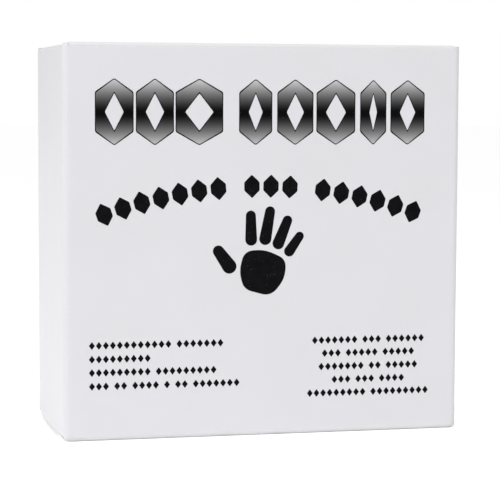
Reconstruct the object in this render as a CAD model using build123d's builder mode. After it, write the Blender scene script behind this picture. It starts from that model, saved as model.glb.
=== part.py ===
from build123d import *
from math import cos, radians, sin
import os

# A folding carton of gymnastics chalk, in millimetres: a straight-tuck paperboard box
# that holds eight pressed blocks of chalk.
# +Z is up and the origin is the middle of the base. The front panel faces -Y and the
# left panel faces -X.
# Both closures hang on the front panel and tuck in behind the back panel, over two
# dust flaps that hang on the side panels. The bottom closure mirrors the top one.

# carton
CARTON_WIDTH = 128.6
CARTON_DEPTH = 63.0
CARTON_HEIGHT = 124.0
BOARD = 0.55  # thickness of the paperboard
FOLD_RADIUS = 1.2  # outside radius of the scored folds of the closures
CORNER_RADIUS = 2.0  # outside radius of the sleeve's upright folds
LAYER_GAP = 0.12  # air between two boards that lie on each other

# glued seam, at the back right corner
GLUE_FLAP_WIDTH = 14.0
GLUE_FLAP_BEVEL = 9.0  # height lost at each end across the width of the flap
GLUE_FLAP_INSET = 3.0  # from the carton's ends to the root of the flap
GLUE_THICKNESS = 0.08
GLUE_MARGIN = 2.0  # from the line of glue to the edges of the flap
SEAM_INSET = 0.4  # from the back face to the raw edge of the right panel

# lids and their tuck flaps
LID_SIDE_INSET = 0.4
TUCK_GAP = 0.35  # between the tuck fold and the back panel
TUCK_FOLD_RADIUS = 0.9
TUCK_LENGTH = 13.0
TUCK_LEAN = 9.0  # degrees that the tuck flap leans in from the back panel
TUCK_SIDE_INSET = 2.2
TUCK_CORNER_RADIUS = 7.0

# dust flaps
DUST_LENGTH = 41.0
DUST_FRONT_INSET = 2.4  # from the front face, at the fold
DUST_REAR_INSET = 3.4  # from the back face, at the fold
DUST_FRONT_TAPER = 0.52  # run of the front edge towards the back, for each mm of length
DUST_REAR_TAPER = 0.12
DUST_CORNER_RADIUS = 3.0

# chalk
BLOCK_WIDTH = 62.7
BLOCK_DEPTH = 29.1
BLOCK_HEIGHT = 60.2
BLOCK_EDGE = 1.4  # radius of the pressed edges
BLOCK_GAP = 0.1  # air between neighbouring blocks
FRONT_CLEARANCE = 0.2  # between the front panel and the blocks

# planes and lines that several pieces share
HALF_WIDTH = CARTON_WIDTH / 2
HALF_DEPTH = CARTON_DEPTH / 2
FOLD_X = HALF_WIDTH - FOLD_RADIUS  # where the flat of a flap gives way to its fold
FOLD_Y = HALF_DEPTH - FOLD_RADIUS
CORNER_X = HALF_WIDTH - CORNER_RADIUS  # where the flat of a wall gives way to a corner
CORNER_Y = HALF_DEPTH - CORNER_RADIUS
DUST_TOP = BOARD + LAYER_GAP  # depth inside the carton's end of a dust flap's outer face
DUST_UNDERSIDE = DUST_TOP + BOARD
SEAM_X = HALF_WIDTH - BOARD - GLUE_THICKNESS  # outer face of the glue flap
TUCK_FOLD_Y = HALF_DEPTH - BOARD - TUCK_GAP - TUCK_FOLD_RADIUS  # centre of the tuck fold

pieces = {}


def level(end, depth):
    """The height of a point that lies a depth inside the carton's top or bottom face."""
    return CARTON_HEIGHT - depth if end == "top" else depth


def slab(x_range, y_range, z_range):
    """A flat piece of board between three pairs of planes."""
    with BuildPart() as board:
        with BuildSketch(Plane.XY.offset(z_range[0])):
            with Locations((sum(x_range) / 2, sum(y_range) / 2)):
                Rectangle(x_range[1] - x_range[0], y_range[1] - y_range[0])
        extrude(amount=z_range[1] - z_range[0])
    return board.part


def fold_strip(plane, radius, start, sweep, length):
    """A scored fold: board bent round a plane's origin from a start angle, and as long as its crease."""
    with BuildPart() as strip:
        with BuildSketch(plane):
            with BuildLine():
                outer = CenterArc((0, 0), radius, start, sweep)
                inner = CenterArc((0, 0), radius - BOARD, start, sweep)
                Line(outer @ 0, inner @ 0)
                Line(outer @ 1, inner @ 1)
            make_face()
        extrude(amount=length)
    return strip.part


def sleeve():
    """Four walls and the three folds between them."""
    front_z = (FOLD_RADIUS, CARTON_HEIGHT - FOLD_RADIUS)
    side_z = (DUST_TOP + FOLD_RADIUS, CARTON_HEIGHT - DUST_TOP - FOLD_RADIUS)
    back_x = (-CORNER_X, SEAM_X - CORNER_RADIUS)
    right_y = (-CORNER_Y, HALF_DEPTH - SEAM_INSET)
    pieces["front_panel"] = slab((-CORNER_X, CORNER_X), (-HALF_DEPTH, BOARD - HALF_DEPTH), front_z)
    pieces["back_panel"] = slab(back_x, (HALF_DEPTH - BOARD, HALF_DEPTH), (0, CARTON_HEIGHT))
    pieces["left_panel"] = slab((-HALF_WIDTH, BOARD - HALF_WIDTH), (-CORNER_Y, CORNER_Y), side_z)
    pieces["right_panel"] = slab((HALF_WIDTH - BOARD, HALF_WIDTH), right_y, side_z)

    corners = {
        "front_left_fold": (-CORNER_X, -CORNER_Y, 180),
        "front_right_fold": (CORNER_X, -CORNER_Y, 270),
        "back_left_fold": (-CORNER_X, CORNER_Y, 90),
    }
    for name, (x, y, start) in corners.items():
        foot = Plane((x, y, side_z[0]))
        pieces[name] = fold_strip(foot, CORNER_RADIUS, start, 90, side_z[1] - side_z[0])


def glued_seam():
    """The fold at the back right corner, the flap that it carries inside the right panel, and the glue."""
    root_z = (GLUE_FLAP_INSET, CARTON_HEIGHT - GLUE_FLAP_INSET)
    tip_z = (root_z[0] + GLUE_FLAP_BEVEL, root_z[1] - GLUE_FLAP_BEVEL)
    tip_y = CORNER_Y - GLUE_FLAP_WIDTH
    foot = Plane((SEAM_X - CORNER_RADIUS, CORNER_Y, root_z[0]))
    pieces["back_right_fold"] = fold_strip(foot, CORNER_RADIUS, 0, 90, root_z[1] - root_z[0])

    corners = ((CORNER_Y, root_z[0]), (tip_y, tip_z[0]), (tip_y, tip_z[1]), (CORNER_Y, root_z[1]))
    inner_face = Plane((SEAM_X - BOARD, 0, 0), x_dir=(0, 1, 0), z_dir=(1, 0, 0))
    with BuildPart() as flap:
        with BuildSketch(inner_face):
            Polygon(*corners, align=None)
        extrude(amount=BOARD)
    pieces["glue_flap"] = flap.part

    glue_y = (tip_y + GLUE_MARGIN, CORNER_Y - GLUE_MARGIN)
    glue_z = (tip_z[0] + GLUE_MARGIN, tip_z[1] - GLUE_MARGIN)
    pieces["seam_glue"] = slab((SEAM_X, SEAM_X + GLUE_THICKNESS), glue_y, glue_z)


def lid(end):
    """A lid, round at its two front corners, and the fold on which it hangs from the front panel."""
    half = HALF_WIDTH - LID_SIDE_INSET
    lower_face = min(level(end, 0), level(end, BOARD))
    with BuildPart() as panel:
        with BuildSketch(Plane.XY.offset(lower_face)) as outline:
            with Locations((0, -FOLD_Y)):
                Rectangle(2 * half, FOLD_Y + TUCK_FOLD_Y, align=(Align.CENTER, Align.MIN))
            fillet(outline.vertices().group_by(Axis.Y)[0], half - CORNER_X)
        extrude(amount=BOARD)
    pieces[f"{end}_lid"] = panel.part

    start = {"top": 90, "bottom": 180}[end]
    section = Plane((-CORNER_X, -FOLD_Y, level(end, FOLD_RADIUS)), x_dir=(0, 1, 0), z_dir=(1, 0, 0))
    pieces[f"{end}_lid_crease"] = fold_strip(section, FOLD_RADIUS, start, 90, 2 * CORNER_X)


def tuck_flap(end):
    """The flap at a lid's free edge, with rounded corners, and its fold."""
    half = HALF_WIDTH - TUCK_SIDE_INSET
    start = {"top": -TUCK_LEAN, "bottom": -90}[end]
    centre = (-half, TUCK_FOLD_Y, level(end, TUCK_FOLD_RADIUS))
    section = Plane(centre, x_dir=(0, 1, 0), z_dir=(1, 0, 0))
    pieces[f"{end}_tuck_crease"] = fold_strip(section, TUCK_FOLD_RADIUS, start, 90 + TUCK_LEAN, 2 * half)

    # its outer face starts where the fold ends, and local Y runs to the tip
    up = {"top": 1, "bottom": -1}[end]
    lean = radians(TUCK_LEAN)
    root_y = TUCK_FOLD_Y + TUCK_FOLD_RADIUS * cos(lean)
    root_z = level(end, TUCK_FOLD_RADIUS * (1 + sin(lean)))
    outer_face = Plane((0, root_y, root_z), x_dir=(up, 0, 0), z_dir=(0, cos(lean), -up * sin(lean)))
    with BuildPart() as flap:
        with BuildSketch(outer_face) as outline:
            Rectangle(2 * half, TUCK_LENGTH, align=(Align.CENTER, Align.MIN))
            fillet(outline.vertices().group_by(Axis.Y)[-1], TUCK_CORNER_RADIUS)
        extrude(amount=-BOARD)
    pieces[f"{end}_tuck_flap"] = flap.part


def dust_flap(end, side):
    """A tapered flap under the lid and the fold on which it hangs from a side panel."""
    out = {"left": -1, "right": 1}[side]
    front = DUST_FRONT_INSET - HALF_DEPTH
    rear = HALF_DEPTH - DUST_REAR_INSET
    tip_x = FOLD_X - DUST_LENGTH
    corners = (
        (out * FOLD_X, front),
        (out * tip_x, front + DUST_FRONT_TAPER * DUST_LENGTH),
        (out * tip_x, rear - DUST_REAR_TAPER * DUST_LENGTH),
        (out * FOLD_X, rear),
    )
    lower_face = min(level(end, DUST_TOP), level(end, DUST_UNDERSIDE))
    with BuildPart() as flap:
        with BuildSketch(Plane.XY.offset(lower_face)) as outline:
            Polygon(*corners, align=None)
            tips = outline.vertices().filter_by(lambda corner: abs(corner.X) < tip_x + BOARD)
            fillet(tips, DUST_CORNER_RADIUS)
        extrude(amount=BOARD)
    pieces[f"{end}_{side}_dust_flap"] = flap.part

    start = {("top", "left"): 90, ("top", "right"): 0, ("bottom", "left"): 180, ("bottom", "right"): 270}
    centre = (out * FOLD_X, rear, level(end, DUST_TOP + FOLD_RADIUS))
    section = Plane(centre, x_dir=(1, 0, 0), z_dir=(0, -1, 0))
    crease = fold_strip(section, FOLD_RADIUS, start[end, side], 90, rear - front)
    pieces[f"{end}_{side}_dust_crease"] = crease


def chalk_blocks():
    """Eight blocks, two across, two deep and two high, on the bottom dust flaps."""
    middle_x = (BOARD - HALF_WIDTH + SEAM_X - BOARD) / 2
    front_y = BOARD - HALF_DEPTH + FRONT_CLEARANCE
    places = {
        f"chalk_block_{tier}_{row}_{side}": (
            middle_x + out * (BLOCK_WIDTH + BLOCK_GAP) / 2,
            front_y + BLOCK_DEPTH / 2 + back * (BLOCK_DEPTH + BLOCK_GAP),
            DUST_UNDERSIDE + BLOCK_GAP + high * (BLOCK_HEIGHT + BLOCK_GAP),
        )
        for high, tier in enumerate(("lower", "upper"))
        for back, row in enumerate(("front", "back"))
        for out, side in ((-1, "left"), (1, "right"))
    }
    for name, (x, y, z) in places.items():
        with BuildPart(Plane((x, y, z))) as block:
            Box(BLOCK_WIDTH, BLOCK_DEPTH, BLOCK_HEIGHT, align=(Align.CENTER, Align.CENTER, Align.MIN))
            fillet(block.edges(), BLOCK_EDGE)
        pieces[name] = block.part


sleeve()
glued_seam()
for end in ("top", "bottom"):
    lid(end)
    tuck_flap(end)
    for side in ("left", "right"):
        dust_flap(end, side)
chalk_blocks()

os.makedirs("parts", exist_ok=True)
for name, piece in pieces.items():
    piece.label = name
    export_step(piece, f"parts/{name}.step")
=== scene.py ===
"""The looks of a folding carton of gymnastics chalk: board, print and pressed blocks.

The carton is one die-cut board. Here it is made of sheets that have the board's thickness:
a sleeve that runs round all four walls, a lid, a tuck flap and two dust flaps at each end.
Lengths are in metres. The front panel faces -Y and the left panel faces -X.
"""
from math import cos, hypot, pi, radians, sin, sqrt

import bmesh
import bpy
import numpy as np
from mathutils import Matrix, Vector, noise


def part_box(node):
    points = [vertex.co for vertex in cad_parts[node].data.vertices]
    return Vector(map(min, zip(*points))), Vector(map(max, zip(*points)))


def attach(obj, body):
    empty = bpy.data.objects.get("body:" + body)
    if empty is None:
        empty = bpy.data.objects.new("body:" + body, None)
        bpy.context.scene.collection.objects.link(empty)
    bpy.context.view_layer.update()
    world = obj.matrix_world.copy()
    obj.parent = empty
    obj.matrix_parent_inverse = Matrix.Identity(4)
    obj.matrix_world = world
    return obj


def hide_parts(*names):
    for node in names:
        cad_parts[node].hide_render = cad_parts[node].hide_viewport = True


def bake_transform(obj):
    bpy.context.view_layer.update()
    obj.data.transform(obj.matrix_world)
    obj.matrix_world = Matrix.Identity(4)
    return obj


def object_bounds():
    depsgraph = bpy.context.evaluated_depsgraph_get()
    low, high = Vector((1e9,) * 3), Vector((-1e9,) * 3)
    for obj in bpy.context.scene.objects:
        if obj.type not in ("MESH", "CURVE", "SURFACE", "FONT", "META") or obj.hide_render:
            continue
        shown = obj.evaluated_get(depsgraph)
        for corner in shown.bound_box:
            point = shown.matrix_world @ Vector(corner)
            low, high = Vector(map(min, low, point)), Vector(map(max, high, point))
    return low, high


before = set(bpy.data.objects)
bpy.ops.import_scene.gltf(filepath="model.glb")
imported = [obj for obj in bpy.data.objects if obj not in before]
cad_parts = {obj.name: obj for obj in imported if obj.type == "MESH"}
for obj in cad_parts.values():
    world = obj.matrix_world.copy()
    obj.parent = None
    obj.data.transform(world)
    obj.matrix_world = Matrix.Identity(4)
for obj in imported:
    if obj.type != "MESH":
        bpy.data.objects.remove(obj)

cad_low, cad_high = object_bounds()
MM = 0.001

# sizes of the carton, read from the frame
front_low, front_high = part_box("front_panel")
back_low, back_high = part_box("back_panel")
left_low, left_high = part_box("left_panel")
right_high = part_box("right_panel")[1]
seam_low, seam_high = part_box("back_right_fold")
glue_low, glue_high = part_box("glue_flap")
lid_low, lid_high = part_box("top_lid")
tuck_fold_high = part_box("top_tuck_crease")[1]
dust_low, dust_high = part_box("top_left_dust_flap")

HALF_WIDTH = cad_high.x
HALF_DEPTH = cad_high.y
HEIGHT = cad_high.z
BOARD = front_high.y - front_low.y
FOLD_RADIUS = front_low.z
CORNER_X = front_high.x  # where the flat of a wall gives way to an upright fold
CORNER_Y = left_high.y
CORNER_RADIUS = HALF_WIDTH - CORNER_X
SEAM_X = glue_high.x  # outer face of the glue flap
LID_HALF = lid_high.x
LID_CORNER = LID_HALF - CORNER_X
TUCK_HALF = tuck_fold_high.x
TUCK_FOLD_Y = lid_high.y
DUST_DEPTH = HEIGHT - dust_high.z  # from the carton's end to a dust flap's outer face

# sizes that no box of the frame gives
TUCK_FOLD_RADIUS = 0.9 * MM
TUCK_LENGTH = 13 * MM
TUCK_LEAN = 9  # degrees
TUCK_TIP_RADIUS = 7 * MM
GLUE_BEVEL = 9 * MM  # height lost at each end across the width of the glue flap
DUST_FRONT_TAPER = 0.52  # run of the front edge towards the back, for each unit of length
DUST_REAR_TAPER = 0.12
DUST_TIP_RADIUS = 3 * MM

# how far the flat stretches stand out in the middle of the panel
FRONT_BOW = 0.12 * MM
SIDE_BOW = 0.8 * MM
BACK_BOW = 0.3 * MM
LID_BOW = {"top": 0.3 * MM, "bottom": 0.03 * MM}

# side panels, along the folds of their dust flaps
SIDE_EDGE_BOW = {"top": 0.4 * MM, "bottom": 1.4 * MM}
BOW_FADE = 12 * MM  # length of dust flap over which that bow dies away

# lids, whose side edges are pressed down onto the dust flaps
LID_INSET = {"top": 2.1 * MM, "bottom": 0.0}  # how much nearer a side edge is than its solid's
LID_SAG = {"top": 0.72 * MM, "bottom": 0.14 * MM}
SAG_WIDTH = 9 * MM
SAG_START = 4 * MM  # length of lid, from its fold, over which the sag sets in

# dust flaps
CREST = {"top": 0.8 * MM, "bottom": 0.0}  # height of the fold above the flap
CREST_WIDTH = 1.2 * MM
DUST_REAR_GROWTH = 1.1 * MM  # how far the rear edge lies beyond its solid's

# ends of the upright folds
CORNER_TOP = 0.25 * MM  # from the carton's top face to the upper end of the two at the front
CORNER_FOOT = 0.6 * MM  # from its bottom face to their lower end
CORNER_CLIMB = 0.35  # share of a fold over which its ends climb from those of a side wall
BACK_DIP = 0.5 * MM  # of the back panel's top edge, at its left corner
DIP_WIDTH = 5 * MM
SEAM_STEP = 0.1  # degrees of its fold in which the back panel narrows to the glue flap's root

# wear, and the painted contact shadow
CREASE_REACH = 0.8 * MM  # how far the wear of a fold reaches into the flat
CUT_REACH = 0.5 * MM  # and the soil of a cut edge
CONTACT_SHADE_REACH = 4 * MM  # height up to which folds that stand on the floor get a painted contact shadow
# height over which that painted shadow fades, upwards from the sheet's lowest point
CONTACT_SHADE_FALLOFF = 0.42 * MM

# meshes
CUT_BEVEL = 0.07 * MM  # softness of the board's cut edges
GRID = 2.2 * MM  # distance between the points of a flat stretch
GRID_ENDS = np.array([0, 0.18, 0.5, 1.1, 2.1]) * MM  # closer points, near its ends
GRID_START = 3.6 * MM  # where the even points start
FOLD_POINTS = 13  # number of points round a fold
SHARP_ANGLE = 38  # degrees between two faces, past which their edge is shaded sharp
TINY = 1e-6  # metres, under which two points are one


# ---------------------------------------------------------------- sheets of board


def smooth_step(value):
    """0 below 0, 1 above 1, and a soft climb between."""
    t = np.clip(value, 0, 1)
    return t * t * (3 - 2 * t)


def bulge(share):
    """1 in the middle of a stretch, 0 at both of its ends."""
    return (1 - (2 * share - 1) ** 2) ** 2


def arched(share):
    """The same, with slopes at both ends, as a board has that turns about its folds."""
    return 1 - (2 * share - 1) ** 2


def crowded(length):
    """Shares of a length, from 0 to 1, that crowd towards both ends."""
    inner = np.linspace(GRID_START, length - GRID_START, max(2, round(length / GRID)))
    return np.concatenate([GRID_ENDS, inner, length - GRID_ENDS[::-1]]) / length


class Strip:
    """The outer face of a bent board in section, as stations that follow each other.

    A station has a point, an outward normal, the board's reach to both sides, how far it
    bows at its middle and at its two ends, and how near it is to a fold, from 0 to 1.
    """

    def __init__(self):
        self.points, self.normals = [], []
        self.low, self.high = [], []
        self.bow, self.end_bows, self.crease = [], [], []

    def add(self, point, normal, reach, bow=0.0, end_bows=(0.0, 0.0), crease=0.0):
        """A station, unless it is where the last one is."""
        if self.points and hypot(*(np.array(point) - self.points[-1])) < TINY:
            return
        self.points.append(np.array(point, float))
        self.normals.append(np.array(normal, float))
        self.low.append(reach[0])
        self.high.append(reach[1])
        self.bow.append(bow)
        self.end_bows.append(end_bows)
        self.crease.append(crease)

    def line(self, start, end, normal, reach, bow=0.0, end_bows=(0.0, 0.0)):
        """A flat stretch. reach is a function of the distance from its start."""
        start, end = np.array(start, float), np.array(end, float)
        length = hypot(*(end - start))
        for share in crowded(length):
            from_fold = min(share, 1 - share) * length
            self.add(
                start + share * (end - start),
                normal,
                reach(share * length),
                bow * bulge(share),
                tuple(end_bow * arched(share) for end_bow in end_bows),
                float(np.exp(-from_fold / CREASE_REACH)),
            )

    def arc(self, centre, radius, first, last, reach):
        """A fold, between two angles in degrees. reach is a function of the share turned."""
        for share in np.linspace(0, 1, FOLD_POINTS):
            angle = radians(first + share * (last - first))
            normal = np.array([cos(angle), sin(angle)])
            self.add(np.array(centre) + radius * normal, normal, reach(share), crease=1.0)


def sheet(name, strip, place):
    """A closed sheet of board along a strip, with cut edges all round.

    place turns a strip's two coordinates and the one across it into a point of the frame.
    """
    points, normals = np.array(strip.points), np.array(strip.normals)
    low, high = np.array(strip.low)[:, None], np.array(strip.high)[:, None]
    bow, end_bows = np.array(strip.bow)[:, None], np.array(strip.end_bows)
    crease = np.array(strip.crease)[:, None]
    shares = crowded(float((high - low).max()))[None, :]
    reach = low + (high - low) * shares
    end_bow = end_bows[:, :1] + (end_bows[:, 1:] - end_bows[:, :1]) * shares
    lift = end_bow + (bow - end_bow) * bulge(shares)

    rows, columns = reach.shape
    from_side = np.minimum(shares, 1 - shares) * (high - low)
    travelled = np.concatenate([[0], np.cumsum(np.hypot(*np.diff(points, axis=0).T))])[:, None]
    from_end = np.minimum(travelled, travelled[-1] - travelled)
    from_cut = np.minimum(from_side, from_end)
    at_cut = from_cut < TINY

    layers = []
    for depth in (0.0, BOARD):
        sink = depth + np.where(at_cut, CUT_BEVEL if depth == 0 else -CUT_BEVEL, 0.0)
        flat = points[:, None, :] + normals[:, None, :] * (lift - sink)[:, :, None]
        layers.append(place(flat[..., 0].ravel(), flat[..., 1].ravel(), reach.ravel()))
    vertices = np.concatenate(layers)

    index = np.arange(rows * columns).reshape(rows, columns)
    quads = np.stack([index[:-1, :-1], index[1:, :-1], index[1:, 1:], index[:-1, 1:]], -1).reshape(-1, 4)
    ring = np.concatenate([index[0, :-1], index[:-1, -1], index[-1, :0:-1], index[:0:-1, 0]])
    following = np.roll(ring, -1)
    total = rows * columns
    rim = np.stack([ring, following, following + total, ring + total], -1)
    faces = np.concatenate([quads, quads[:, ::-1] + total, rim[:, ::-1]])

    mesh = bpy.data.meshes.new(name)
    mesh.from_pydata(vertices.tolist(), [], faces.tolist())
    kinds = np.concatenate([np.zeros(len(quads)), np.ones(len(quads)), np.full(len(rim), 2)])
    mesh.polygons.foreach_set("material_index", kinds.astype(np.int32))
    creased = np.tile(np.broadcast_to(crease, reach.shape).ravel(), 2)
    heights = vertices[:, 2]
    facts = {
        "crease": creased,
        "cut": np.tile(np.exp(-from_cut / CUT_REACH).ravel(), 2),
        # painted contact shadow: folds near the floor, strongest at the sheet's lowest point
        "contact_shade": creased * (heights < CONTACT_SHADE_REACH) * np.exp((heights.min() - heights) / CONTACT_SHADE_FALLOFF),
        "ply": np.repeat([0.0, 1.0], total),
    }
    for key, value in facts.items():
        attribute = mesh.attributes.new(key, "FLOAT", "POINT")
        attribute.data.foreach_set("value", value.astype(np.float32))
    for material in board_materials:
        mesh.materials.append(material)
    return finished(name, mesh)


def finished(name, mesh):
    """Links a mesh as a piece, with outward faces and smooth shading up to its sharp edges."""
    shape = bmesh.new()
    shape.from_mesh(mesh)
    bmesh.ops.recalc_face_normals(shape, faces=shape.faces)
    shape.to_mesh(mesh)
    shape.free()
    mesh.shade_smooth()
    mesh.set_sharp_from_angle(angle=radians(SHARP_ANGLE))
    piece = bpy.data.objects.new(name, mesh)
    bpy.context.scene.collection.objects.link(piece)
    return piece


def corner_heights(share, wall, other):
    """The reach of an upright fold that goes from a side wall to another one."""
    climb = float(smooth_step(share / CORNER_CLIMB))
    return tuple(a + (b - a) * climb for a, b in zip(wall, other))


def sleeve():
    """The four walls, the upright folds between them and the glue flap, as one sheet."""
    side = (left_low.z, left_high.z)
    front = (front_low.z, front_high.z)
    corner = (CORNER_FOOT, HEIGHT - CORNER_TOP)
    back = (back_low.z, back_high.z)
    root = (seam_low.z, seam_high.z)

    def front_fold(share):
        at_front = share > 1 - TINY
        return front if at_front else corner_heights(share, side, corner)

    def back_reach(distance):
        return back[0], back[1] - BACK_DIP * (1 - float(smooth_step(distance / DIP_WIDTH)))

    def back_fold(share):
        return corner_heights(share, side, back_reach(0.0))

    def glue_reach(distance):
        lost = GLUE_BEVEL * distance / (glue_high.y - glue_low.y)
        return root[0] + lost, root[1] - lost

    # from the raw edge of the right panel, round the front and the back, to the glue flap's tip
    strip = Strip()
    right, left, seam_corner = HALF_WIDTH, -HALF_WIDTH, seam_low.x
    side_bows = (SIDE_BOW, (SIDE_EDGE_BOW["bottom"], SIDE_EDGE_BOW["top"]))
    strip.add((right, right_high.y), (1, 0), side)
    strip.line((right, CORNER_Y), (right, -CORNER_Y), (1, 0), lambda distance: side, *side_bows)
    strip.arc((CORNER_X, -CORNER_Y), CORNER_RADIUS, 0, -90, front_fold)
    strip.line(
        (CORNER_X, -HALF_DEPTH), (-CORNER_X, -HALF_DEPTH), (0, -1), lambda distance: front, FRONT_BOW
    )
    strip.arc((-CORNER_X, -CORNER_Y), CORNER_RADIUS, -90, -180, lambda share: front_fold(1 - share))
    strip.line((left, -CORNER_Y), (left, CORNER_Y), (-1, 0), lambda distance: side, *side_bows)
    strip.arc((-CORNER_X, CORNER_Y), CORNER_RADIUS, 180, 90, back_fold)
    strip.line((-CORNER_X, HALF_DEPTH), (seam_corner, HALF_DEPTH), (0, 1), back_reach, BACK_BOW)
    strip.arc((seam_corner, CORNER_Y), CORNER_RADIUS, 90 - SEAM_STEP, 0, lambda share: root)
    strip.line((SEAM_X, CORNER_Y), (SEAM_X, glue_low.y), (1, 0), glue_reach)

    piece = sheet("sleeve", strip, lambda x, y, z: np.stack([x, y, z], 1))
    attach(piece, "sleeve")
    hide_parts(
        "front_panel", "back_panel", "left_panel", "right_panel",
        "front_left_fold", "front_right_fold", "back_left_fold", "back_right_fold",
        "glue_flap",
    )


def at_end(end, z):
    """Heights measured in the top closure, as they are in the closure of that end."""
    return z if end == "top" else HEIGHT - z


def lid_edge(end):
    """X of a lid's right edge."""
    return LID_HALF - LID_INSET[end]


def sagging(end):
    """Places a lid or its tuck flap, with the side edges pressed down onto the dust flaps."""

    def place(y, z, x):
        near_side = smooth_step((abs(x) - lid_edge(end) + SAG_WIDTH) / SAG_WIDTH)
        past_fold = smooth_step((y - lid_low.y) / SAG_START)
        return np.stack([x, y, at_end(end, z - LID_SAG[end] * near_side * past_fold)], 1)

    return place


def bend_line(strip, place, first, last):
    """The points between which a fold turns: where its inner face starts and ends."""
    ends = []
    for station in (first, last):
        y, z = strip.points[station] - strip.normals[station] * BOARD
        ends.append(place(np.array([y]), np.array([z]), np.array([0.0]))[0])
    return ends


def lid(end):
    """A lid with the fold that hangs it on the front panel."""

    def reach(distance):
        short = max(0.0, 1 - distance / LID_CORNER)
        half = CORNER_X + (lid_edge(end) - CORNER_X) * sqrt(1 - short ** 2)
        return -half, half

    strip = Strip()
    strip.arc((lid_low.y, HEIGHT - FOLD_RADIUS), FOLD_RADIUS, 180, 90, lambda share: (-CORNER_X, CORNER_X))
    folded = len(strip.points) - 1
    strip.line((lid_low.y, HEIGHT), (TUCK_FOLD_Y, HEIGHT), (0, 1), reach, LID_BOW[end])
    place = sagging(end)
    piece = sheet(f"{end}_lid_board", strip, place)
    start, stop = bend_line(strip, place, 0, folded)
    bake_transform(piece)
    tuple(start)
    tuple(stop)
    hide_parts(f"{end}_lid", f"{end}_lid_crease")


def tuck_flap(end):
    """A tuck flap with its fold and two round corners."""
    lean = radians(TUCK_LEAN)

    def reach(distance):
        past = max(0.0, distance - (TUCK_LENGTH - TUCK_TIP_RADIUS))
        half = TUCK_HALF - TUCK_TIP_RADIUS + sqrt(max(0.0, TUCK_TIP_RADIUS ** 2 - past ** 2))
        return -half, half

    centre = np.array([TUCK_FOLD_Y, HEIGHT - TUCK_FOLD_RADIUS])
    normal = np.array([cos(lean), -sin(lean)])
    root = centre + TUCK_FOLD_RADIUS * normal
    tip = root + TUCK_LENGTH * np.array([-sin(lean), -cos(lean)])
    strip = Strip()
    strip.arc(centre, TUCK_FOLD_RADIUS, 90, -TUCK_LEAN, lambda share: (-TUCK_HALF, TUCK_HALF))
    folded = len(strip.points) - 1
    strip.line(root, tip, normal, reach)
    place = sagging(end)
    piece = sheet(f"{end}_tuck_board", strip, place)
    start, stop = bend_line(strip, place, 0, folded)
    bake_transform(piece)
    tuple(start)
    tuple(stop)
    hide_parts(f"{end}_tuck_flap", f"{end}_tuck_crease")


def dust_flap(end, side):
    """A tapered dust flap with the fold that hangs it on a side panel."""
    out = -1 if side == "left" else 1
    length = dust_high.x - dust_low.x

    def reach(distance):
        front = dust_low.y + DUST_FRONT_TAPER * distance
        rear = dust_high.y + DUST_REAR_GROWTH - DUST_REAR_TAPER * distance
        past = max(0.0, distance - (length - DUST_TIP_RADIUS))
        lost = DUST_TIP_RADIUS - sqrt(max(0.0, DUST_TIP_RADIUS ** 2 - past ** 2))
        return front + lost, rear - lost

    def place(x, z, y):
        bowed = SIDE_EDGE_BOW[end] * arched(np.clip(0.5 + y / (2 * CORNER_Y), 0, 1))
        here = 1 - smooth_step((x - dust_low.x) / BOW_FADE)
        fallen = CREST[end] * (1 - np.exp(np.minimum(dust_low.x - x, 0) / CREST_WIDTH))
        return np.stack([-out * (x - bowed * here), y, at_end(end, z - fallen)], 1)

    level = HEIGHT - DUST_DEPTH
    strip = Strip()
    strip.arc((dust_low.x, level - FOLD_RADIUS), FOLD_RADIUS, 180, 90, lambda share: reach(0.0))
    folded = len(strip.points) - 1
    strip.line((dust_low.x, level), (dust_high.x, level), (0, 1), reach)
    piece = sheet(f"{end}_{side}_dust_board", strip, place)
    start, stop = bend_line(strip, place, 0, folded)
    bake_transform(piece)
    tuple(start)
    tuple(stop)
    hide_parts(f"{end}_{side}_dust_flap", f"{end}_{side}_dust_crease")


# ---------------------------------------------------------------- print

INK = 0.03 * MM  # how far the print stands proud of the front panel
INK_ROOT = 0.02 * MM  # how far it is sunk into it


def front_face(x, z):
    """Y of the front panel's outer face, bow included."""
    across = bulge((x / CORNER_X + 1) / 2)
    up = bulge((z - front_low.z) / (front_high.z - front_low.z))
    return -HALF_DEPTH - FRONT_BOW * across * up


def printed(name, outlines, material, lift=0.0):
    """A closed film of ink on the front panel, from closed outlines in X and Z, in millimetres.

    An outline inside another one is a hole in it.
    """
    curve = bpy.data.curves.new(name, "CURVE")
    curve.dimensions = "2D"
    curve.fill_mode = "BOTH"
    curve.extrude = 1.0
    for outline in outlines:
        spline = curve.splines.new("POLY")
        spline.points.add(len(outline) - 1)
        for point, (x, z) in zip(spline.points, outline):
            point.co = (x, z, 0, 1)
        spline.use_cyclic_u = True
    holder = bpy.data.objects.new(name, curve)
    bpy.context.scene.collection.objects.link(holder)
    mesh = bpy.data.meshes.new_from_object(holder)
    bpy.data.objects.remove(holder)

    shape = bmesh.new()
    shape.from_mesh(mesh)
    bmesh.ops.remove_doubles(shape, verts=shape.verts, dist=1e-5)
    for vertex in shape.verts:
        x, z, front = vertex.co.x * MM, vertex.co.y * MM, vertex.co.z > 0
        proud = lift + INK if front else -INK_ROOT
        vertex.co = (x, front_face(x, z) - proud, z)
    shape.to_mesh(mesh)
    shape.free()
    mesh.materials.clear()
    mesh.materials.append(material)
    piece = finished(name, mesh)
    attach(piece, "sleeve")
    return piece


def rounded(corners, radius, steps=5):
    """A polygon with its corners cut round, as a list of points."""
    points = []
    count = len(corners)
    for i, corner in enumerate(corners):
        before, here, after = (np.array(corners[k % count], float) for k in (i - 1, i, i + 1))
        back, on = before - here, after - here
        reach = min(radius, hypot(*back) / 2.2, hypot(*on) / 2.2)
        start = here + back / hypot(*back) * reach
        stop = here + on / hypot(*on) * reach
        for t in np.linspace(0, 1, steps):
            points.append(tuple((1 - t) ** 2 * start + 2 * t * (1 - t) * here + t ** 2 * stop))
    return points


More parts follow.
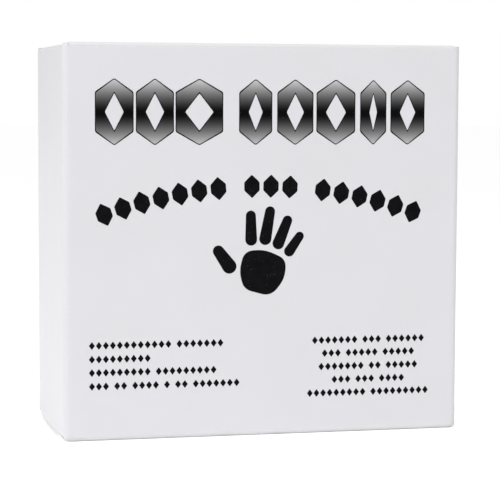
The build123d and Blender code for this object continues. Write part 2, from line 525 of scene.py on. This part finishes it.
def lozenge(x, z, width, height, radius):
    """An upright lozenge with soft corners."""
    across, up = width / 2, height / 2
    return rounded([(x, z + up), (x + across, z), (x, z - up), (x - across, z)], radius)


def gem(x, z, width, height, shoulder, radius):
    """An upright hexagon that is pointed at its top and bottom."""
    across, up = width / 2, height / 2
    corners = [
        (x, z + up), (x + across, z + up - shoulder), (x + across, z - up + shoulder),
        (x, z - up), (x - across, z - up + shoulder), (x - across, z + up - shoulder),
    ]
    return rounded(corners, radius)


def turned_about(x, z, angle, outline):
    """An outline turned about the origin by an angle in radians, and then moved to a point."""
    c, s = cos(angle), sin(angle)
    return [(x + u * c - v * s, z + u * s + v * c) for u, v in outline]


# title: left and right end of each ornament, in two groups
TITLE_SPANS = (
    (-54.3, -42.2), (-41.5, -29.5), (-29.0, -13.8),
    (-8.7, 2.0), (3.6, 15.4), (16.4, 29.2), (30.8, 39.5), (40.9, 52.3),
)
TITLE_LOW, TITLE_HIGH = 92.2, 113.0
TITLE_SHOULDER = 4.2
TITLE_SIDE = 3.1  # width of an ornament's frame at its sides
TITLE_END = 4.6  # and at its top and bottom
TITLE_LINE = 0.28  # width of the fine outline
TITLE_ROUND = 0.6
TITLE_WINDOW_ROUND = 0.4
TITLE_DARKEST = 0.485  # share of the title's height
DISPLAY_GAMMA = 2.2  # turns the greys of a print into amounts of light
# growth of the outline at a pointed end, and of a window in width and in height, per width of line
POINT_GROWTH, WINDOW_GROWTH = 2.4, (2.4, 4)


def title():
    """Two groups of tall gems with open middles, finely outlined, shaded from light to dark and back."""
    lines, fills = [], []
    middle, height = (TITLE_LOW + TITLE_HIGH) / 2, TITLE_HIGH - TITLE_LOW
    for left, right in TITLE_SPANS:
        x, width = (left + right) / 2, right - left
        for inset, group in ((0.0, lines), (TITLE_LINE, fills)):
            gem_size = (width - 2 * inset, height - POINT_GROWTH * inset)
            group.append(gem(x, middle, *gem_size, TITLE_SHOULDER, TITLE_ROUND))
            window_width = width - 2 * TITLE_SIDE + WINDOW_GROWTH[0] * inset
            window_height = height - 2 * TITLE_END + WINDOW_GROWTH[1] * inset
            group.append(lozenge(x, middle, window_width, window_height, TITLE_WINDOW_ROUND))
    printed("print_title_outline", lines, black_ink)
    printed("print_title_shading", fills, shaded_ink, lift=INK / 2)


ARCH_GROUPS = (7, 3, 6)
ARCH_RADIUS = 151.5
ARCH_TOP = 79.3  # height of the middle of the arch
ARCH_X = -1.4
ARCH_HALF_ANGLE = 19.3  # degrees, to the middle of the outermost gems
ARCH_HEIGHT = 7.4
ARCH_FILL = 0.8  # width of a gem, as a share of its place
ARCH_SHOULDER = 2.4
ARCH_ROUND = 0.35
ARCH_WORD_GAP = 0.75  # of one place


def arch():
    """Small solid gems in three groups along an arch."""
    places, at = [], 0.0
    for count in ARCH_GROUPS:
        places += [at + i for i in range(count)]
        at += count + ARCH_WORD_GAP
    share = np.array(places) / places[-1]
    step = ARCH_RADIUS * radians(2 * ARCH_HALF_ANGLE / places[-1])
    upright = gem(0, 0, step * ARCH_FILL, ARCH_HEIGHT, ARCH_SHOULDER, ARCH_ROUND)
    outlines = []
    for angle in radians(ARCH_HALF_ANGLE) * (2 * share - 1):
        x = ARCH_X + ARCH_RADIUS * sin(angle)
        z = ARCH_TOP - ARCH_RADIUS * (1 - cos(angle))
        outlines.append(turned_about(x, z, -angle, upright))
    printed("print_arch", outlines, black_ink)


EMBLEM_X, EMBLEM_Z = -0.6, 53.6  # the middle of the palm
HAND_TILT = -14  # degrees
PALM = ((-4.6, -8.2), (-7.4, -3.0), (-7.4, 3.6), (-1.0, 5.6), (6.6, 4.2), (7.6, -2.0), (4.6, -8.4))
PALM_ROUND = 3.2
# middle of the root, angle in degrees from upright, length, radius at the root and at the tip
FINGERS = (
    (-10.9, -2.2, 50, 6.0, 2.3, 1.8),
    (-6.1, 7.6, 15, 7.6, 1.9, 1.6),
    (-1.7, 8.9, 4, 8.8, 1.95, 1.6),
    (2.8, 8.5, -8, 7.8, 1.9, 1.55),
    (6.9, 6.9, -21, 5.8, 1.7, 1.4),
)


def finger(x, z, angle, length, root, tip):
    """A finger's print: a tapered bar with round ends."""
    along = np.array([-sin(radians(angle)), cos(radians(angle))])
    across = np.array([along[1], -along[0]])
    start = np.array([x, z])
    points = []
    for centre, radius, first in ((start + along * length, tip, 0), (start, root, pi)):
        for turn in np.linspace(first, first + pi, 12):
            points.append(centre + radius * (cos(turn) * across + sin(turn) * along))
    return points


def emblem():
    """The print of a chalked hand, a little tilted."""
    shapes = [rounded(PALM, PALM_ROUND, steps=8)] + [finger(*sizes) for sizes in FINGERS]
    outlines = [turned_about(EMBLEM_X, EMBLEM_Z, radians(HAND_TILT), shape) for shape in shapes]
    printed("print_emblem", outlines, black_ink)


LINE_HEIGHT = 2.5
PLACE_WIDTH = 2.2  # of one lozenge in a line
PLACE_FILL = 0.86  # width of a lozenge, as a share of its place
WORD_GAP = 0.6  # of one place
LOZENGE_ROUND = 0.15
# each line's left end or middle, its height, and the lozenges in each of its words
LEFT_LINES = (
    (-56.5, 29.95, (12, 7)), (-56.5, 25.65, (9,)),
    (-56.5, 21.45, (9, 9)), (-56.5, 17.15, (3, 2, 4, 1, 2, 7)),
)
RIGHT_LINES = (
    (34.2, 29.9, (7, 3, 6)), (34.2, 25.7, (3, 5, 5)),
    (34.2, 21.4, (7, 2, 5)), (34.2, 17.15, (3, 3, 4)), (34.2, 12.9, (9, 9)),
)


def fine_line(x, z, words, centred):
    """Tiny lozenges, in words, from a left end or about a middle."""
    total = (sum(words) + WORD_GAP * (len(words) - 1)) * PLACE_WIDTH
    at = x - total / 2 if centred else x
    outlines = []
    for word in words:
        for i in range(word):
            middle = at + (i + 0.5) * PLACE_WIDTH
            outlines.append(lozenge(middle, z, PLACE_WIDTH * PLACE_FILL, LINE_HEIGHT, LOZENGE_ROUND))
        at += (word + WORD_GAP) * PLACE_WIDTH
    return outlines


def fine_print():
    """Two blocks of fine lines, near the bottom of the panel."""
    for name, lines, centred in (("left", LEFT_LINES, False), ("right", RIGHT_LINES, True)):
        outlines = [o for x, z, words in lines for o in fine_line(x, z, words, centred)]
        printed(f"print_fine_{name}", outlines, black_ink)


# ---------------------------------------------------------------- chalk


BLOCK_EDGE = 1.4 * MM  # radius of the rounded edges
BLOCK_GRID = 1.7 * MM
EDGE_POINTS = np.array([0, 0.12, 0.3, 0.55, 0.8, 1.05])  # as shares of that radius
FACE_SHARE = 0.25  # how far a normal turns from a face before the wear is that of an edge
SEED_OFFSET = Vector((3.1, 1.7, 0.9))  # from one block's noise to the next one's
GRAIN_SCALE, PATCH_SCALE, CHIP_SCALE = 900, 110, 60  # of the noise, per metre
GRAIN_NOISE = (0.8, 2.1, 3)  # roughness, lacunarity and octaves
GRAIN_WEAR = 0.03  # wear is counted in units of the edge radius
EDGE_WEAR, PATCH_WEAR = 0.066, 0.275  # on all edges, and where they are softest
PATCH_LEVEL, CHIP_LEVEL = -0.15, 0.28  # noise above which the edges are soft, or chipped
CHIP_WEAR = 2.2
MOST_WEAR = 0.95
WEAR_DEPTH = 0.8


def block_lines(half):
    """Coordinates from -half to half that crowd at the rounded edges."""
    near = half - BLOCK_EDGE * EDGE_POINTS
    inner = np.linspace(-near[-1], near[-1], max(3, round(2 * near[-1] / BLOCK_GRID)))[1:-1]
    return np.concatenate([-near, inner, near[::-1]])


def worn(at, normal, seed):
    """How far a block's surface stands from its core, after crumbling."""
    here, offset = Vector(at), SEED_OFFSET * seed
    grain = noise.fractal(here * GRAIN_SCALE + offset, *GRAIN_NOISE)
    patch = max(0.0, noise.noise(here * PATCH_SCALE + offset) - PATCH_LEVEL)
    chip = max(0.0, noise.noise(here * CHIP_SCALE + offset * 2) - CHIP_LEVEL)
    at_edge = min(1.0, (1 - max(abs(normal))) / FACE_SHARE)
    crumble = (EDGE_WEAR + PATCH_WEAR * patch) * (0.6 + 0.4 * grain)
    lost = GRAIN_WEAR * (1 + grain) + (crumble + CHIP_WEAR * chip) * at_edge
    return BLOCK_EDGE * (1 - WEAR_DEPTH * min(lost, MOST_WEAR))


def chalk_block(node_name, seed):
    """A pressed block with soft, crumbled edges and chipped corners."""
    low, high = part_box(node_name)
    middle, half = (low + high) / 2, np.array((high - low) / 2)
    lines = [block_lines(h) for h in half]
    shape = bmesh.new()
    corners = {}

    def corner(key):
        """The vertex at a place in the grid, pulled from a cube's surface onto the rounded one."""
        if key not in corners:
            at = np.array([lines[axis][key[axis]] for axis in range(3)])
            core = np.clip(at, BLOCK_EDGE - half, half - BLOCK_EDGE)
            normal = (at - core) / np.linalg.norm(at - core)
            reach = worn(core + normal * BLOCK_EDGE, normal, seed)
            corners[key] = shape.verts.new(core + normal * reach)
        return corners[key]

    last = [len(line) - 1 for line in lines]
    for axis in range(3):
        u, v = (axis + 1) % 3, (axis + 2) % 3
        for end in (0, last[axis]):
            for i in range(last[u]):
                for j in range(last[v]):
                    keys = []
                    for a, b in ((0, 0), (1, 0), (1, 1), (0, 1)):
                        key = [0, 0, 0]
                        key[axis], key[u], key[v] = end, i + a, j + b
                        keys.append(tuple(key))
                    shape.faces.new([corner(k) for k in keys])
    mesh = bpy.data.meshes.new(node_name)
    for vertex in shape.verts:
        vertex.co += middle
    shape.to_mesh(mesh)
    shape.free()
    mesh.materials.append(chalk)
    piece = finished(node_name + "_pressed", mesh)
    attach(piece, "sleeve")
    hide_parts(node_name)


# ---------------------------------------------------------------- materials


def connect(tree, socket, value):
    """Sets an input to a value, or joins it to another node's output."""
    if isinstance(value, bpy.types.NodeSocket):
        tree.links.new(value, socket)
    elif isinstance(value, tuple) and len(value) == 3 and socket.type == "RGBA":
        socket.default_value = (*value, 1)
    else:
        socket.default_value = value


def node(tree, kind, inputs=None, **settings):
    """Adds a shader node and returns it."""
    made = tree.nodes.new("ShaderNode" + kind)
    for key, value in settings.items():
        setattr(made, key, value)
    for key, value in (inputs or {}).items():
        connect(tree, made.inputs[key], value)
    return made


def new_material(name):
    """A node material, its tree and its shader."""
    material = bpy.data.materials.new(name)
    material.use_nodes = True
    return material, material.node_tree, material.node_tree.nodes["Principled BSDF"]


def place_of(tree, stretch=(1, 1, 1)):
    """The place in the piece, in metres, stretched along the axes."""
    coordinates = node(tree, "TexCoord").outputs["Object"]
    return node(tree, "Mapping", {"Vector": coordinates, "Scale": stretch}).outputs["Vector"]


def noise_of(tree, scale, detail=2.0, stretch=(1, 1, 1), roughness=0.5):
    """Soft noise, about 0.5 in the middle. The scale is in features per metre."""
    made = node(
        tree, "TexNoise",
        {"Vector": place_of(tree, stretch), "Scale": scale, "Detail": detail, "Roughness": roughness},
    )
    return made.outputs["Fac"]


def ramp(tree, value, low, high, to_low=0.0, to_high=1.0):
    """A value mapped from one range to another, and held inside it."""
    inputs = {"Value": value, "From Min": low, "From Max": high, "To Min": to_low, "To Max": to_high}
    return node(tree, "MapRange", inputs, clamp=True).outputs["Result"]


def blend_colour(tree, share, first, second):
    """The first colour where the share is 0, the second one where it is 1."""
    made = node(tree, "Mix", data_type="RGBA")
    connect(tree, made.inputs["Factor"], share)
    for key, value in (("A", first), ("B", second)):
        socket = next(s for s in made.inputs if s.name == key and s.type == "RGBA")
        connect(tree, socket, value)
    return next(s for s in made.outputs if s.type == "RGBA")


def combined(tree, operation, values):
    """One number from several, by a Math node's operation."""
    total = values[0]
    for value in values[1:]:
        total = node(tree, "Math", {0: total, 1: value}, operation=operation).outputs[0]
    return total


def sum_of(tree, *values):
    """Numbers or outputs, added up."""
    return combined(tree, "ADD", values)


def product_of(tree, *values):
    """Numbers or outputs, multiplied."""
    return combined(tree, "MULTIPLY", values)


def attribute_of(tree, name):
    """One of the numbers that a sheet stores at its vertices."""
    return node(tree, "Attribute", attribute_name=name).outputs["Fac"]


def bump(tree, shader, height, distance, strength=1.0):
    """Raises a shader's surface by a height between 0 and 1, times a distance in metres."""
    made = node(tree, "Bump", {"Height": height, "Distance": distance, "Strength": strength})
    connect(tree, shader.inputs["Normal"], made.outputs["Normal"])


COATED_LIGHT = (0.758, 0.752, 0.784)
COATED_DARK = (0.741, 0.735, 0.762)
RUBBED = (0.84, 0.835, 0.84)
# near-black colour of the painted contact shadow on the folds that stand on the floor
CONTACT_SHADOW_COLOUR = (0.05, 0.049, 0.047)
PULP_LIGHT, PULP_DARK = (0.80, 0.795, 0.775), (0.755, 0.748, 0.72)
BARE_LIGHT, BARE_DARK = (0.70, 0.687, 0.652), (0.665, 0.65, 0.612)
FIBRE = (0.79, 0.78, 0.755)
FLECK = (0.42, 0.39, 0.34)
INK_DARK, INK_LIGHT = (0.002, 0.002, 0.003), (0.004, 0.004, 0.005)
CHALK_LIGHT, CHALK_DARK = (0.79, 0.79, 0.785), (0.735, 0.735, 0.725)
# grey of the painted shade in the chalk's pits
CHALK_PIT_SHADE = (0.55, 0.55, 0.545)
CHALK_POWDER = (0.83, 0.83, 0.825)
GLUE_LIGHT, GLUE_DARK = (0.78, 0.72, 0.58), (0.68, 0.60, 0.44)


def coated_board():
    """The white coated face, with a faint mottle, rubbed folds, soil where it is cut, and a painted
    contact shadow, near black, on the folds where it stands on the floor.
    """
    material, tree, shader = new_material("coated_white_board")
    fine = noise_of(tree, scale=1400)
    mottle = ramp(tree, noise_of(tree, scale=38, detail=3), 0.3, 0.7)
    clean = blend_colour(tree, mottle, COATED_LIGHT, COATED_DARK)

    cracks = ramp(tree, noise_of(tree, scale=2600, detail=3), 0.5, 0.62)
    crack = product_of(tree, attribute_of(tree, "crease"), cracks)
    rubbed = blend_colour(tree, product_of(tree, crack, 0.2), clean, RUBBED)

    soiling = ramp(tree, noise_of(tree, scale=700, detail=3), 0.35, 0.65, to_low=0.15, to_high=0.6)
    soil = product_of(tree, attribute_of(tree, "cut"), soiling)
    soiled = blend_colour(tree, soil, rubbed, PULP_LIGHT)

    # painted contact shadow: the lowest folds are blended towards near black, with a little mottle
    shadow_mottle = ramp(tree, noise_of(tree, scale=240, detail=4), 0.3, 0.7, to_low=0.75, to_high=1.0)
    dust = product_of(tree, attribute_of(tree, "contact_shade"), shadow_mottle)
    connect(tree, shader.inputs["Base Color"], blend_colour(tree, dust, soiled, CONTACT_SHADOW_COLOUR))

    rough = sum_of(tree, 0.36, product_of(tree, fine, 0.12), product_of(tree, crack, 0.2))
    connect(tree, shader.inputs["Roughness"], rough)
    wave = noise_of(tree, scale=160)
    height = sum_of(tree, product_of(tree, fine, 0.25), wave, product_of(tree, crack, -1.0))
    bump(tree, shader, height, distance=0.02 * MM, strength=0.6)
    return material


def bare_board():
    """The uncoated inner face: warm grey pulp with fibres and flecks."""
    material, tree, shader = new_material("bare_inner_board")
    cloud = ramp(tree, noise_of(tree, scale=160, detail=4), 0.3, 0.7)
    pulp = blend_colour(tree, cloud, BARE_LIGHT, BARE_DARK)
    fibres = ramp(tree, noise_of(tree, scale=900, detail=4, stretch=(1, 1, 4)), 0.54, 0.66)
    fibred = blend_colour(tree, product_of(tree, fibres, 0.3), pulp, FIBRE)
    flecks = ramp(tree, noise_of(tree, scale=2300), 0.72, 0.78, to_high=0.6)
    connect(tree, shader.inputs["Base Color"], blend_colour(tree, flecks, fibred, FLECK))
    shader.inputs["Roughness"].default_value = 0.9
    height = sum_of(tree, fibres, noise_of(tree, scale=1800, detail=3))
    bump(tree, shader, height, distance=0.03 * MM)
    return material


def cut_board():
    """The cut edge: a thin white coat over layers of pulp."""
    material, tree, shader = new_material("cut_board_edge")
    streaks = noise_of(tree, scale=2600, detail=3)
    depth = sum_of(tree, attribute_of(tree, "ply"), product_of(tree, streaks, 0.1))
    below_coat = ramp(tree, depth, 0.12, 0.2)
    pulp = blend_colour(tree, ramp(tree, streaks, 0.35, 0.65), PULP_LIGHT, PULP_DARK)
    connect(tree, shader.inputs["Base Color"], blend_colour(tree, below_coat, COATED_LIGHT, pulp))
    shader.inputs["Roughness"].default_value = 0.92
    bump(tree, shader, streaks, distance=0.05 * MM)
    return material


def ink(name, colour):
    """Matt offset ink: nearly even, with pinholes at the finest scale. colour adds its colour's nodes."""
    material, tree, shader = new_material(name)
    pinholes = ramp(tree, noise_of(tree, scale=3200), 0.72, 0.8, to_high=0.5)
    connect(tree, shader.inputs["Base Color"], blend_colour(tree, pinholes, colour(tree), COATED_DARK))
    fine = noise_of(tree, scale=1400)
    connect(tree, shader.inputs["Roughness"], ramp(tree, fine, 0.3, 0.7, to_low=0.34, to_high=0.46))
    shader.inputs["Specular IOR Level"].default_value = 0.06
    bump(tree, shader, fine, distance=0.01 * MM, strength=0.5)
    return material


def black(tree):
    """A black with the faintest cloud in it."""
    cloud = ramp(tree, noise_of(tree, scale=400, detail=3), 0.35, 0.65)
    return blend_colour(tree, cloud, INK_DARK, INK_LIGHT)


def light_to_dark_to_light(tree):
    """A grey that is darkest near the title's middle and lightest at its top and bottom."""
    height = node(tree, "SeparateXYZ", {"Vector": place_of(tree)}).outputs["Z"]
    share = ramp(tree, height, TITLE_LOW * MM, TITLE_HIGH * MM)
    offset = node(tree, "Math", {0: share, 1: TITLE_DARKEST}, operation="SUBTRACT").outputs[0]
    distance = node(tree, "Math", {0: offset}, operation="ABSOLUTE").outputs[0]
    printed_grey = ramp(tree, distance, 0.03, 0.5, to_low=0.05, to_high=0.80)
    grey = node(tree, "Math", {0: printed_grey, 1: DISPLAY_GAMMA}, operation="POWER").outputs[0]
    return node(tree, "CombineColor", {"Red": grey, "Green": grey, "Blue": grey}).outputs["Color"]


def pressed_chalk():
    """Pressed magnesium carbonate: bright, matt and powdery, with pits and loose grains; the pits are
    painted darker, as shade in their hollows.
    """
    material, tree, shader = new_material("pressed_chalk")
    cloud = ramp(tree, noise_of(tree, scale=90, detail=4), 0.3, 0.7)
    base = blend_colour(tree, cloud, CHALK_LIGHT, CHALK_DARK)
    pit_noise = noise_of(tree, scale=2100, detail=5, roughness=0.75)
    # painted shade: the pits, which the bump also sinks, are blended towards a darker grey
    pits = ramp(tree, pit_noise, 0.30, 0.42, to_low=0.45, to_high=0.0)
    pit_shaded = blend_colour(tree, pits, base, CHALK_PIT_SHADE)
    powder_noise = noise_of(tree, scale=260, detail=5, roughness=0.65)
    powder = ramp(tree, powder_noise, 0.52, 0.68, to_high=0.7)
    connect(tree, shader.inputs["Base Color"], blend_colour(tree, powder, pit_shaded, CHALK_POWDER))
    shader.inputs["Roughness"].default_value = 1.0
    shader.inputs["Specular IOR Level"].default_value = 0.15
    grain = noise_of(tree, scale=1300, detail=5, roughness=0.7)
    height = sum_of(tree, grain, product_of(tree, powder, 0.6), product_of(tree, pits, -0.8))
    bump(tree, shader, height, distance=0.2 * MM)
    return material


def cold_glue():
    """The dried line of glue in the seam."""
    material, tree, shader = new_material("seam_glue")
    cloud = ramp(tree, noise_of(tree, scale=300, detail=3), 0.3, 0.7)
    connect(tree, shader.inputs["Base Color"], blend_colour(tree, cloud, GLUE_LIGHT, GLUE_DARK))
    rough = ramp(tree, noise_of(tree, scale=500), 0.3, 0.7, to_low=0.25, to_high=0.5)
    connect(tree, shader.inputs["Roughness"], rough)
    bump(tree, shader, noise_of(tree, scale=400, detail=3), distance=0.03 * MM)
    return material


board_materials = (coated_board(), bare_board(), cut_board())
black_ink = ink("black_ink", black)
shaded_ink = ink("shaded_ink", light_to_dark_to_light)
chalk = pressed_chalk()

sleeve()
for end in ("top", "bottom"):
    lid(end)
    tuck_flap(end)
    for side in ("left", "right"):
        dust_flap(end, side)
title()
arch()
emblem()
fine_print()
for seed, name in enumerate(sorted(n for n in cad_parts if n.startswith("chalk_block"))):
    chalk_block(name, seed + 1)

glue_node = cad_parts["seam_glue"]
glue_node.data.materials.clear()
glue_node.data.materials.append(cold_glue())


# ---------------------------------------------------------------- studio


FLOOR_HALF = 6
FLOOR_LIGHT, FLOOR_DARK = (0.94, 0.94, 0.94), (0.925, 0.925, 0.925)
FLOOR_GLOW = 0.43
SKY_BRIGHTEST = (-0.65, 0.15, 0.75)  # direction
SKY_WEAKEST, SKY_STRONGEST = 0.16, 0.80
EYE = (-0.1434, -0.6158, 0.1077)
LENS = 137.4
LOOK_DOWN, LOOK_RIGHT, ROLL = 4.62, 13.305, -0.24  # degrees


def floor_material():
    """A pale floor that glows a little, so that it has no horizon."""
    material, tree, shader = new_material("pale_floor")
    cloud = noise_of(tree, scale=3, detail=3)
    connect(tree, shader.inputs["Base Color"], blend_colour(tree, cloud, FLOOR_LIGHT, FLOOR_DARK))
    shader.inputs["Roughness"].default_value = 0.85
    shader.inputs["Emission Color"].default_value = (1, 1, 1, 1)
    shader.inputs["Emission Strength"].default_value = FLOOR_GLOW
    return material


def floor():
    """A wide plane under the carton."""
    mesh = bpy.data.meshes.new("floor")
    shape = bmesh.new()
    bmesh.ops.create_grid(shape, x_segments=2, y_segments=2, size=FLOOR_HALF)
    shape.to_mesh(mesh)
    shape.free()
    mesh.materials.append(floor_material())
    plane = bpy.data.objects.new("floor", mesh)
    bpy.context.scene.collection.objects.link(plane)


def softbox(name, place, size, power, target=(0, 0, 0.06)):
    """A square area light that faces a target."""
    light = bpy.data.lights.new(name, "AREA")
    light.size = size
    light.energy = power
    holder = bpy.data.objects.new(name, light)
    holder.location = place
    holder.rotation_euler = (Vector(target) - Vector(place)).to_track_quat("-Z", "Y").to_euler()
    bpy.context.scene.collection.objects.link(holder)


def sky():
    """A soft white surround, brightest overhead and to the left, that the camera sees as plain white."""
    world = bpy.data.worlds.new("studio")
    world.use_nodes = True
    tree = world.node_tree
    direction = node(tree, "TexCoord").outputs["Generated"]
    towards = node(tree, "VectorMath", {0: direction, 1: SKY_BRIGHTEST}, operation="DOT_PRODUCT")
    strength = ramp(tree, towards.outputs["Value"], -0.6, 1, SKY_WEAKEST, SKY_STRONGEST)
    seen = node(tree, "LightPath").outputs["Is Camera Ray"]
    shown = node(tree, "Mix", {"Factor": seen, "A": strength, "B": 1.0}, data_type="FLOAT")
    connect(tree, tree.nodes["Background"].inputs["Strength"], shown.outputs["Result"])
    tree.nodes["Background"].inputs["Color"].default_value = (1, 1, 1, 1)
    bpy.context.scene.world = world


def studio():
    """The floor, the surround and two soft lights."""
    floor()
    sky()
    softbox("front_left", (-0.9, -0.75, 0.4), 0.5, 1.8)
    softbox("overhead", (0.03, -0.18, 0.8), 0.3, 2.1, target=(0.03, -0.18, 0))
    bpy.context.scene.view_settings.view_transform = "Standard"


def camera():
    """A long lens from left of the carton, turned right and down, and tilted a touch."""
    data = bpy.data.cameras.new("camera")
    data.lens = LENS
    data.sensor_width = 36
    holder = bpy.data.objects.new("camera", data)
    holder.location = EYE
    holder.rotation_euler = (radians(90 - LOOK_DOWN), radians(ROLL), radians(-LOOK_RIGHT))
    bpy.context.scene.collection.objects.link(holder)
    bpy.context.scene.camera = holder


studio()
camera()
